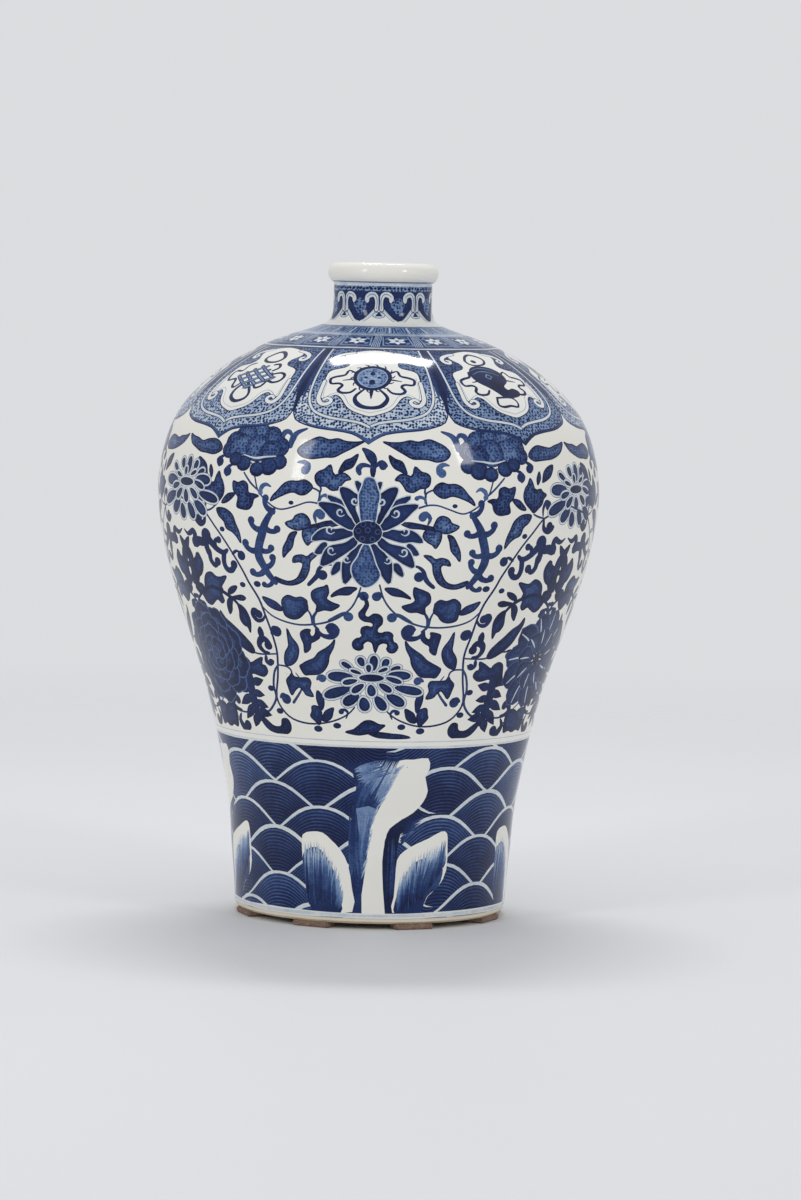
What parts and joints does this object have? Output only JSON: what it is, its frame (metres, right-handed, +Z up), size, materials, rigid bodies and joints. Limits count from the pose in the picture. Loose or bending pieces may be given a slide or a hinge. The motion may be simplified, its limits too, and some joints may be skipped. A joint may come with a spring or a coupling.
{
  "type": "vase",
  "caption": "Meiping porcelain vase with a short narrow neck, rolled lip, broad shoulder, tapering body and foot ring on felt pads, painted in underglaze cobalt blue.",
  "frame": {"origin": "on the resting surface, under the centre of the foot ring", "axes": "+Z up along the vase's axis, -Y towards the pictured front"},
  "size_m": [0.226, 0.226, 0.3336],
  "materials": {
    "porcelain": "matte",
    "luting_slip": "matte",
    "glaze": "gloss",
    "felt": "matte"
  },
  "bodies": {
    "root": {"lower_body": "porcelain", "belly_section": "porcelain", "shoulder_section": "porcelain", "neck_and_lip": "porcelain", "lower_luting_slip": "luting_slip", "belly_luting_slip": "luting_slip", "neck_luting_slip": "luting_slip", "glaze_coat": "glaze", "base_glaze": "glaze", "felt_pad_1": "felt", "felt_pad_2": "felt", "felt_pad_3": "felt", "felt_pad_4": "felt", "felt_pad_5": "felt", "felt_pad_6": "felt", "felt_pad_7": "felt", "felt_pad_8": "felt"}
  },
  "joints": []
}
